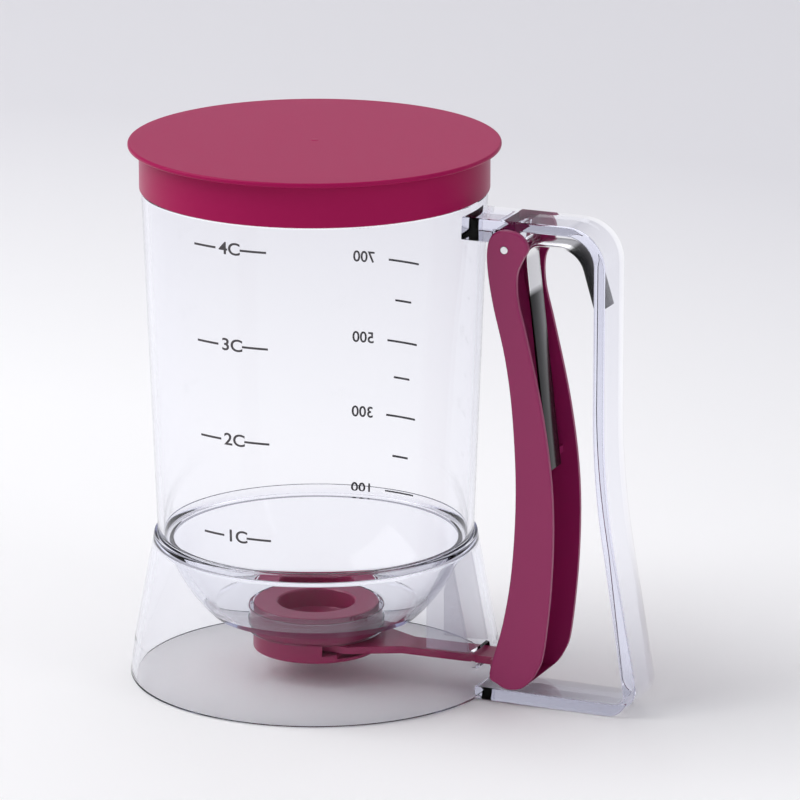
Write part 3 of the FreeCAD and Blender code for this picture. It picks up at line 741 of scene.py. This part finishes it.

# %% Spring leaf, one fixed shape
spring_mesh = bpy.data.meshes.new("spring_leaf")
bmesh.ops.recalc_face_normals(spring_shape, faces=spring_shape.faces)
spring_shape.to_mesh(spring_mesh)
spring_shape.free()
spring_mesh.materials.append(steel)
spring_mesh.shade_smooth()
spring_mesh.set_sharp_from_angle(angle=math.radians(38))
spring = bpy.data.objects.new("spring_leaf", spring_mesh)
bpy.context.scene.collection.objects.link(spring)
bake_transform(spring)
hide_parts("return_spring")

# %% [markdown]
# The volume marks are printed on the wall. A dash is a tiny outline spun by a few degrees about
# the jug's axis, so it follows the wall. A number starts as flat text, becomes a mesh, and each
# of its points is then wrapped onto the wall by its angle.

# %% Printed dashes
INK_BACK = 0.01
INK_PROUD = 0.06
DASH_HEIGHT = 0.66
DASH_STEP = 1.5


def dash(name, height, start, end):
    """A printed dash at a height, between two angles in degrees."""
    shape = bmesh.new()
    radius = wall_radius(height)
    spots = block(radius + INK_BACK, radius + INK_PROUD,
                  height - DASH_HEIGHT / 2, height + DASH_HEIGHT / 2)
    corners = [shape.verts.new((across * MM, 0, up * MM)) for across, up in spots]
    face = shape.faces.new(corners)
    to_start = Matrix.Rotation(math.radians(start), 3, "Z")
    bmesh.ops.rotate(shape, cent=(0, 0, 0), matrix=to_start, verts=corners)
    bmesh.ops.spin(shape, geom=[face, *face.edges, *corners], cent=(0, 0, 0), axis=(0, 0, 1),
                   angle=math.radians(end - start), steps=max(2, round((end - start) / DASH_STEP)),
                   use_duplicate=False)
    bmesh.ops.recalc_face_normals(shape, faces=shape.faces)
    return piece(name, shape, ink, "root")


# %% Printed numbers
def number(name, words, height, angle, tall, spread=1.0):
    """Text wrapped onto the wall, its middle at the angle, read from outside."""
    letters = bpy.data.curves.new(name, "FONT")
    letters.body = words
    letters.align_x = "CENTER"
    letters.align_y = "CENTER"
    letters.size = tall * 1.4
    letters.resolution_u = 6
    letters.offset = tall * 0.022
    flat = bpy.data.objects.new(name, letters)
    bpy.context.scene.collection.objects.link(flat)
    bpy.context.view_layer.update()
    mesh = bpy.data.meshes.new_from_object(flat)
    bpy.data.objects.remove(flat)
    shape = bmesh.new()
    shape.from_mesh(mesh)
    bpy.data.meshes.remove(mesh)
    faces = shape.faces[:]
    made = bmesh.ops.extrude_face_region(shape, geom=faces, use_keep_orig=True)
    raised = [item for item in made["geom"] if isinstance(item, bmesh.types.BMVert)]
    bmesh.ops.translate(shape, vec=(0, 0, INK_PROUD - INK_BACK), verts=raised)
    for corner in shape.verts:
        up = height + corner.co.y
        radius = wall_radius(up) + INK_BACK + corner.co.z
        turn = math.radians(angle) + corner.co.x * spread / wall_radius(height)
        corner.co = Vector((math.cos(turn) * radius, math.sin(turn) * radius, up)) * MM
    bmesh.ops.remove_doubles(shape, verts=shape.verts, dist=1e-7)
    bmesh.ops.recalc_face_normals(shape, faces=shape.faces)
    return piece(name, shape, ink, "root")


# %% Cup marks on the near side
CUP_MARKS = {4: 146.2, 3: 116.2, 2: 86.4, 1: 55.8}
for cups, height in CUP_MARKS.items():
    dash(f"cup_{cups}_dash_left", height, -109.2, -100.3)
    dash(f"cup_{cups}_dash_right", height, -91.2, -82.0)
    number(f"cup_{cups}_number", f"{cups}C", height, -95.0, 3.8, spread=1.15)

# %% Millilitre marks on the far side
PART_MARKS = {700: 119.6, 500: 93.7, 300: 69.6, 100: 44.7}
HALF_MARKS = (106.9, 82.1, 56.6)
for amount, height in PART_MARKS.items():
    dash(f"part_{amount}_dash", height, 74.3, 87.0)
    number(f"part_{amount}_number", str(amount), height, 96.4, 3.5)
for count, height in enumerate(HALF_MARKS, start=1):
    dash(f"half_dash_{count}", height, 77.3, 84.1)

# %% [markdown]
# The studio is a wide pale disc whose edge curves up behind everything, so that no horizon
# shows from any side. The paper carries a painted pool of light: it is brightest at the near left,
# where the backdrop nearly burns out, and a colour ramp over the distance from a spot there greys
# it further off as a painted fall-off of the light.

# %% Studio floor with a painted pool of light
FLOOR_FLAT = 2.4
FLOOR_EDGE = 4.2
WALL_HEIGHT = 3.4
PAINTED_LIGHT_CENTRE = (-0.25, -0.35, 0)
RAMP_METRES = 4.0
sweep = [(0, 0), (FLOOR_FLAT * 1000, 0),
         *arc((FLOOR_FLAT * 1000, 0), (FLOOR_EDGE * 1000, (FLOOR_EDGE - FLOOR_FLAT) * 1000),
              (FLOOR_EDGE - FLOOR_FLAT) * 1000, "right", 16), (FLOOR_EDGE * 1000, WALL_HEIGHT * 1000)]
backdrop_finish = plain_finish("backdrop_painted_light", (0.9, 0.9, 0.9), 0.8)
paper_nodes, paper_links = backdrop_finish.node_tree.nodes, backdrop_finish.node_tree.links
paper_place = paper_nodes.new("ShaderNodeTexCoord")
paper_reach = paper_nodes.new("ShaderNodeVectorMath")
paper_reach.operation = "DISTANCE"
paper_reach.inputs[1].default_value = PAINTED_LIGHT_CENTRE
# This ramp paints light onto the paper: bright near the spot, greyer further off.
painted_light_falloff = paper_nodes.new("ShaderNodeValToRGB")
painted_light_falloff.color_ramp.elements[0].position = 0.15
painted_light_falloff.color_ramp.elements[0].color = (0.97, 0.97, 0.975, 1)
painted_light_falloff.color_ramp.elements[1].position = 0.26
painted_light_falloff.color_ramp.elements[1].color = (0.75, 0.745, 0.775, 1)
paper_scale = paper_nodes.new("ShaderNodeMath")
paper_scale.operation = "MULTIPLY"
paper_scale.inputs[1].default_value = 1 / RAMP_METRES
paper_links.new(paper_place.outputs["Object"], paper_reach.inputs[0])
paper_links.new(paper_reach.outputs["Value"], paper_scale.inputs[0])
paper_links.new(paper_scale.outputs["Value"], painted_light_falloff.inputs["Fac"])
paper_links.new(painted_light_falloff.outputs["Color"], paper_nodes["Principled BSDF"].inputs["Base Color"])
floor_shape = turned(sweep, closed=False, steps=96)
bmesh.ops.translate(floor_shape, vec=(0, 0, -0.0002), verts=floor_shape.verts)
floor_mesh = bpy.data.meshes.new("studio_sweep")
floor_shape.to_mesh(floor_mesh)
floor_shape.free()
floor_mesh.materials.append(backdrop_finish)
floor_mesh.shade_smooth()
floor = bpy.data.objects.new("studio_sweep", floor_mesh)
bpy.context.scene.collection.objects.link(floor)

# %% [markdown]
# Light comes from one broad panel at the upper left, two weak ones at the right and behind, and
# the pale room all round. The Standard view keeps the plastic's colour full, where the default
# view would wash it out under light this bright.


# %% Lights
def panel(name, place, aim, width, height, power, colour=(1, 1, 1)):
    light = bpy.data.lights.new(name, "AREA")
    light.shape = "RECTANGLE"
    light.size = width
    light.size_y = height
    light.energy = power
    light.color = colour
    lamp = bpy.data.objects.new(name, light)
    bpy.context.scene.collection.objects.link(lamp)
    lamp.location = place
    lamp.rotation_euler = (Vector(aim) - Vector(place)).to_track_quat("-Z", "Y").to_euler()
    return lamp


panel("key_panel", (-1.5, -0.6, 1.9), (0, 0.1, 0.0), 2.1, 2.1, 42)
panel("side_panel", (2.0, -0.6, 0.9), (0, 0, 0.08), 0.7, 1.4, 5)
panel("back_panel", (-0.4, 2.0, 1.8), (0, 0, 0.08), 2.0, 1.0, 6)

world = bpy.data.worlds.new("pale_room")
world.use_nodes = True
world.node_tree.nodes["Background"].inputs["Color"].default_value = (0.97, 0.97, 1.0, 1)
world.node_tree.nodes["Background"].inputs["Strength"].default_value = 0.57
bpy.context.scene.world = world
bpy.context.scene.view_settings.view_transform = "Standard"

# %% [markdown]
# The camera stands where the photographer stood: to the right of the front and well above the
# table, with a long lens. Its place and aim were worked out from the ellipses of the lid and
# the foot.

# %% Camera
CAMERA_PLACE = Vector((0.74815, -1.68038, 0.59992))
CAMERA_AIM = Vector((0.02371, 0.01056, 0.08660))
camera_data = bpy.data.cameras.new("photo_camera")
camera_data.lens = 279.5
camera_data.sensor_width = 36
camera_data.clip_end = 20
camera = bpy.data.objects.new("photo_camera", camera_data)
bpy.context.scene.collection.objects.link(camera)
camera.location = CAMERA_PLACE
camera.rotation_euler = (CAMERA_AIM - CAMERA_PLACE).to_track_quat("-Z", "Y").to_euler()
bpy.context.scene.camera = camera
